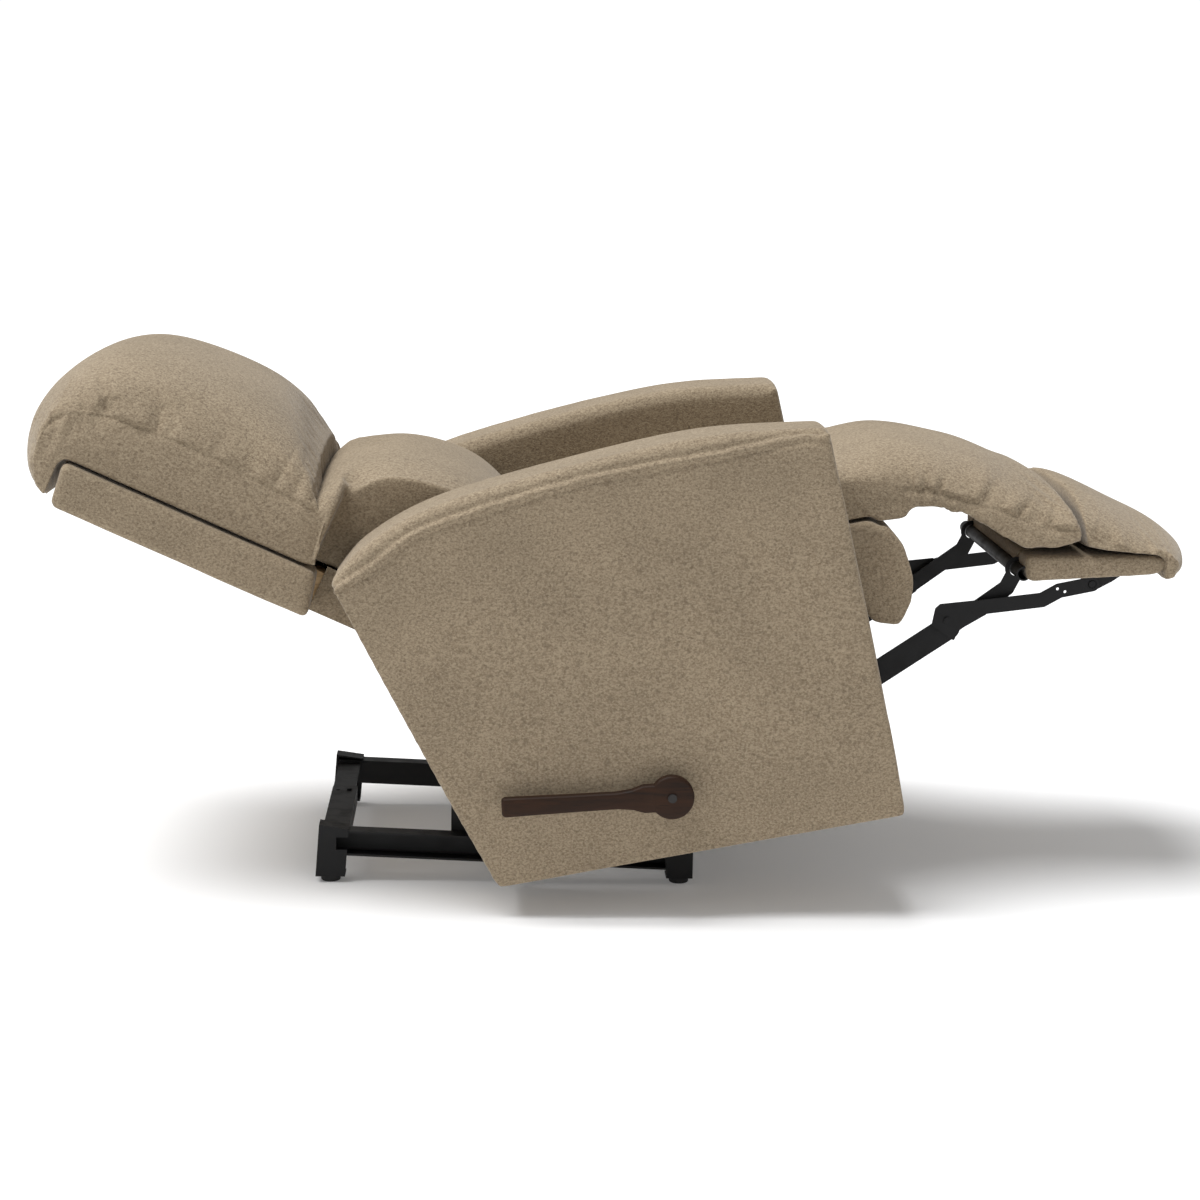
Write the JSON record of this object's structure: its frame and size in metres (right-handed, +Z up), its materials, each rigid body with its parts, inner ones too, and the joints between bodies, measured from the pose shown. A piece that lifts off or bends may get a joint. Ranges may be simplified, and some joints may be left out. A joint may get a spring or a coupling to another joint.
{
  "type": "recliner armchair",
  "caption": "Upholstered recliner armchair with a side lever, a swing-out leg rest, a reclining back and a seat that glides and tips on a low steel base.",
  "frame": {"origin": "on the floor, under the middle of the steel base, between its four feet", "axes": "+X the way the sitter faces, +Y to the sitter's left, +Z up"},
  "size_m": [1.7023, 0.886, 0.757],
  "materials": {
    "black_steel": "satin",
    "plain_steel": "satin",
    "dark_metal": "satin",
    "rubber": "matt",
    "nylon": "matt",
    "upholstery": "woven chenille",
    "frame_wood": "raw",
    "lever_wood": "stained satin"
  },
  "bodies": {
    "base": {"base_rail_right": "black_steel", "base_rail_left": "black_steel", "rear_post_right": "black_steel", "rear_post_left": "black_steel", "front_post_right": "black_steel", "front_post_left": "black_steel", "ramp_plate_right": "black_steel", "ramp_plate_left": "black_steel", "rear_crossbar": "black_steel", "front_crossbar": "black_steel", "floor_glides": "rubber", "base_bolts": "plain_steel"},
    "glide_shoes": {"glide_shoe_right": "nylon", "glide_shoe_left": "nylon"},
    "seat_frame": {"side_plate_right": "black_steel", "side_plate_left": "black_steel", "arm_cover_right": "upholstery", "arm_cover_left": "upholstery", "arm_frame_right": "frame_wood", "arm_frame_left": "frame_wood", "stub_pins": "plain_steel", "slot_rollers": "nylon", "back_pivot_bolts": "plain_steel", "seat_side_rails": "frame_wood", "seat_front_rail": "frame_wood", "seat_rear_rail": "frame_wood", "seat_springs": "plain_steel", "spring_clips": "plain_steel", "seat_cushion": "upholstery", "front_apron": "upholstery", "chaise_bridge": "upholstery"},
    "back": {"back_post_right": "frame_wood", "back_post_left": "frame_wood", "back_wing_right": "upholstery", "back_wing_left": "upholstery", "back_top_rail": "frame_wood", "back_bottom_rail": "frame_wood", "outside_back": "upholstery", "back_springs": "plain_steel", "lumbar_pillow": "upholstery", "head_pillow": "upholstery"},
    "lever_shaft": {"lever": "lever_wood", "lever_hub": "dark_metal", "lever_screw": "dark_metal", "drive_shaft": "plain_steel", "drive_cranks": "black_steel"},
    "drive_link_pair": {"drive_links": "black_steel"},
    "front_carriers": {"front_carrier_right": "black_steel", "front_carrier_left": "black_steel"},
    "lift_link_pair": {"lift_link_right": "black_steel", "lift_link_left": "black_steel"},
    "rear_carriers": {"rear_carrier_right": "black_steel", "rear_carrier_left": "black_steel"},
    "rear_link_pair": {"rear_link_right": "black_steel", "rear_link_left": "black_steel"},
    "leg_rest": {"foot_board": "upholstery", "cross_tube": "black_steel", "toe_brackets": "black_steel", "chaise_pad": "upholstery", "foot_pillow": "upholstery"}
  },
  "joints": [
    {"name": "carriage_glide", "type": "slide", "parent": "base", "child": "glide_shoes", "axis": [-0.9992, 0, 0.0401], "range_m": [0, 0.262]},
    {"name": "chassis_tilt", "type": "hinge", "parent": "glide_shoes", "child": "seat_frame", "pos_m": [0.03, 0, 0.04667], "axis": [0, 1, 0], "range_deg": [0, 10.75]},
    {"name": "back_recline", "type": "hinge", "parent": "seat_frame", "child": "back", "pos_m": [-0.15591, 0, 0.39378], "axis": [0, 1, 0], "range_deg": [0, 35.5]},
    {"name": "legrest_swing", "type": "hinge", "parent": "seat_frame", "child": "leg_rest", "pos_m": [0.5854, 0, 0.5101], "axis": [0, 1, 0], "range_deg": [0, 80], "deforming": ["chaise_bridge"]},
    {"name": "lever_turn", "type": "hinge", "parent": "seat_frame", "child": "lever_shaft", "pos_m": [0.22188, 0, 0.17847], "axis": [0, 1, 0], "range_deg": [0, 80]},
    {"name": "drive_link_pivot", "type": "hinge", "parent": "lever_shaft", "child": "drive_link_pair", "pos_m": [0.19222, 0, 0.16646], "axis": [0, 1, 0], "range_deg": [-80, 0]},
    {"name": "front_hip", "type": "hinge", "parent": "seat_frame", "child": "front_carriers", "pos_m": [0.37894, 0, 0.45563], "axis": [0, 1, 0], "range_deg": [0, 80]},
    {"name": "front_knee", "type": "hinge", "parent": "front_carriers", "child": "lift_link_pair", "pos_m": [0.62729, 0, 0.38064], "axis": [0, 1, 0], "range_deg": [-80, 0]},
    {"name": "rear_hip", "type": "hinge", "parent": "seat_frame", "child": "rear_carriers", "pos_m": [0.491, 0, 0.42296], "axis": [0, 1, 0], "range_deg": [0, 80]},
    {"name": "rear_knee", "type": "hinge", "parent": "rear_carriers", "child": "rear_link_pair", "pos_m": [0.63285, 0, 0.36744], "axis": [0, 1, 0], "range_deg": [-80, 0]}
  ],
  "couplings": [
    {"joint": "chassis_tilt", "follows": "carriage_glide", "rad_per_m": 0.71611},
    {"joint": "back_recline", "follows": "carriage_glide", "rad_per_m": 2.3648},
    {"joint": "lever_turn", "follows": "legrest_swing", "ratio": 1},
    {"joint": "drive_link_pivot", "follows": "legrest_swing", "ratio": -1},
    {"joint": "front_hip", "follows": "legrest_swing", "ratio": 1},
    {"joint": "front_knee", "follows": "legrest_swing", "ratio": -1},
    {"joint": "rear_hip", "follows": "legrest_swing", "ratio": 1},
    {"joint": "rear_knee", "follows": "legrest_swing", "ratio": -1}
  ]
}
